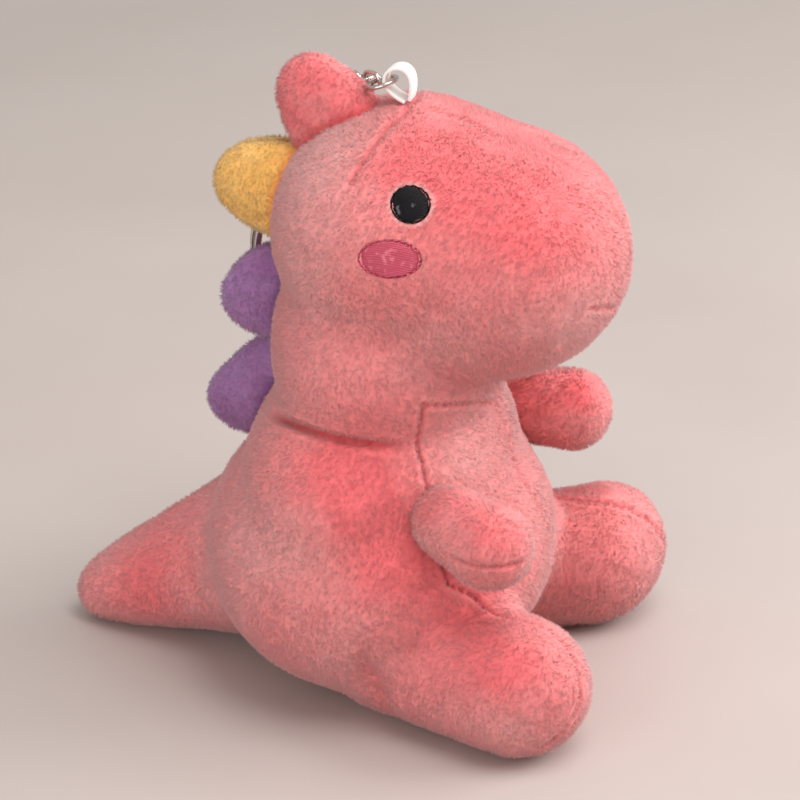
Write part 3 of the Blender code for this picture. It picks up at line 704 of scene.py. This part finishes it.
def build_body(looks):
    panels = [n for n in frame["record"]["behaviour"]["bodies"]["body"] if "panel" in n]
    points, quads, nap_shading, fold_shade, bare = body_skin(panels)
    tree = BVHTree.FromPolygons([Vector(p) for p in points], quads.tolist())
    places = {}
    for word, side in SIDES:
        for kind, (reach, rise) in (("eye", EYE_SIZE), ("cheek", CHEEK_SIZE)):
            place = patch_place(tree, side, f"{kind}_{word}")
            places[f"{kind}_{word}"] = place
            offset = points - np.array(place[0])
            u, v, w = (offset @ np.array(way) / size for way, size in
                       zip(place[1:], (reach, rise, PATCH_DEPTH)))
            away = np.sqrt(u * u + v * v + w * w)
            bare = np.maximum(bare, np.clip((1.08 - away) * 10, 0, 1))
            if kind == "eye":
                nap_shading = np.maximum(nap_shading, 1.5 * bell(away - 1.14, 0.15))
    bare = np.where(points[:, 2] < 0.5, 1.0, bare)
    nap_shading = np.clip(nap_shading, 0, 1)
    body = make_piece("body_skin", points, quads, looks["pink"], nap_shading, fold_shade)
    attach(body, "body")
    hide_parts("body_filling", *panels)
    middles = points[quads].mean(axis=1)
    for word, side in SIDES:
        mine = middles[:, 0] * side > 0
        levels = np.quantile(middles[mine, 2], np.arange(PILE_PIECES + 1) / PILE_PIECES)
        for index in range(PILE_PIECES):
            share = mine & (middles[:, 2] >= levels[index]) & (middles[:, 2] < levels[index + 1])
            pile = make_pile(f"body_pile_{word}_{index + 1}", (points, quads, nap_shading, fold_shade, bare),
                             looks["pink"], 20 + 3 * index + side, share=share)
            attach(pile, "body")
    for word, _ in SIDES:
        for kind, size, turn, look, slot in (
                ("eye", EYE_SIZE, EYE_TURN, looks["black"], "black_thread"),
                ("cheek", CHEEK_SIZE, CHEEK_TURN, looks["rose"], "rose_thread")):
            name = f"{kind}_{word}"
            patch = make_embroidery(f"{name}_stitches", tree, places[name], size, turn, look,
                                    40 + len(name))
            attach(patch, "body")
            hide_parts(name)
    return tree


def build_spikes(looks, tree):
    for index, (name, look, slot) in enumerate((
            ("spike_pink", looks["pink"], "pink_plush"), ("spike_yellow", looks["yellow"], "yellow_plush"),
            ("spike_violet_upper", looks["violet"], "violet_plush"),
            ("spike_violet_lower", looks["violet"], "violet_plush"))):
        skin = spike_skin(name, tree)
        spike = make_piece(f"{name}_skin", *skin[:2], look, *skin[2:4])
        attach(spike, "body")
        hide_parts(f"{name}_left", f"{name}_right", f"{name}_filling")
        pile = make_pile(f"{name}_pile", skin, look, 60 + index, density=SPIKE_DENSITY)
        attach(pile, "body")


def build_arms(looks, tree):
    for index, name in enumerate(("arm_left", "arm_right")):
        skin, shoulder, inward = arm_skin(name, tree)
        arm = make_piece(f"{name}_skin", *skin[:2], looks["pink"], *skin[2:4])
        pile = make_pile(f"{name}_pile", skin, looks["pink"], 80 + index)
        for piece in (arm, pile):
            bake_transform(piece)
        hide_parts(f"{name}_outer", f"{name}_inner", f"{name}_filling")


def build_hardware(looks):
    ribbon = refined("ribbon_loop", 0.0, looks["ribbon"], sharp_edges=True)
    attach(ribbon, "ribbon")
    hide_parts("ribbon_loop")
    for body, nodes in frame["record"]["behaviour"]["bodies"].items():
        for node in nodes:
            if node.startswith("chain_link") or node.endswith("_ring"):
                piece = refined(node, WIRE_GROW, looks["nickel"])
                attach(piece, body)
                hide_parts(node)


def build_stage():
    mesh = bpy.data.meshes.new("table_top")
    reach = TABLE_HALF
    mesh.from_pydata([(-reach, -reach, 0), (reach, -reach, 0), (reach, reach, 0), (-reach, reach, 0)], [],
                     [[0, 1, 2, 3]])
    mesh.materials.append(floor_look())
    table = bpy.data.objects.new("table_top", mesh)
    bpy.context.collection.objects.link(table)
    world = bpy.data.worlds.new("studio")
    world.use_nodes = True
    world.node_tree.nodes["Background"].inputs["Color"].default_value = (1.0, 0.96, 0.93, 1)
    world.node_tree.nodes["Background"].inputs["Strength"].default_value = 0.56
    bpy.context.scene.world = world


def add_light(name, place, target, size, power, color):
    light = bpy.data.lights.new(name, "AREA")
    light.shape = "DISK"
    light.size = size
    light.energy = power
    light.color = color
    lamp = bpy.data.objects.new(name, light)
    lamp.location = place
    lamp.rotation_euler = (Vector(target) - Vector(place)).to_track_quat("-Z", "Y").to_euler()
    bpy.context.collection.objects.link(lamp)


def build_camera_and_lights():
    turn, tilt = math.radians(CAMERA_AZIMUTH), math.radians(CAMERA_ELEVATION)
    back = Vector((math.sin(turn) * math.cos(tilt), -math.cos(turn) * math.cos(tilt), math.sin(tilt)))
    target = Vector(CAMERA_TARGET)
    lens = bpy.data.cameras.new("camera")
    lens.lens = CAMERA_LENS
    lens.shift_x, lens.shift_y = CAMERA_SHIFT
    camera = bpy.data.objects.new("camera", lens)
    camera.location = target + back * CAMERA_DISTANCE
    camera.rotation_euler = (-back).to_track_quat("-Z", "Y").to_euler()
    bpy.context.collection.objects.link(camera)
    bpy.context.scene.camera = camera
    bpy.context.scene.view_settings.view_transform = "Standard"
    right = Vector((math.cos(turn), math.sin(turn), 0))
    away = Vector((-math.sin(turn), math.cos(turn), 0))
    up = Vector((0, 0, 1))
    for name, (rise, beside, beyond), size, power, color in LIGHTS:
        place = target + up * rise + right * beside + away * beyond
        add_light(name, place, target, size, power, color)


def main():
    looks = {
        # Each pile: deep and pale colours for its lie with painted shade and sheen, then the colour of painted
        # shade in its seams
        "pink": plush_look("pink_pile", (0.86, 0.185, 0.20), (0.84, 0.385, 0.375), (0.62, 0.07, 0.08)),
        "yellow": plush_look("yellow_pile", (0.90, 0.46, 0.10), (0.97, 0.66, 0.25), (0.80, 0.24, 0.05)),
        "violet": plush_look("violet_pile", (0.29, 0.11, 0.29), (0.48, 0.27, 0.52), (0.14, 0.045, 0.15)),
        "black": thread_look("black_satin", (0.002, 0.0015, 0.003), (0.12, 0.12, 0.13), 0.25, 0.62),
        "rose": thread_look("rose_satin", (0.50, 0.07, 0.12), (0.68, 0.17, 0.23), 0.4, 0.55),
        "ribbon": ribbon_look(),
        "nickel": nickel_look(),
    }
    tree = build_body(looks)
    build_spikes(looks, tree)
    build_arms(looks, tree)
    build_hardware(looks)
    build_stage()
    build_camera_and_lights()


main()
bpy.context.view_layer.update()
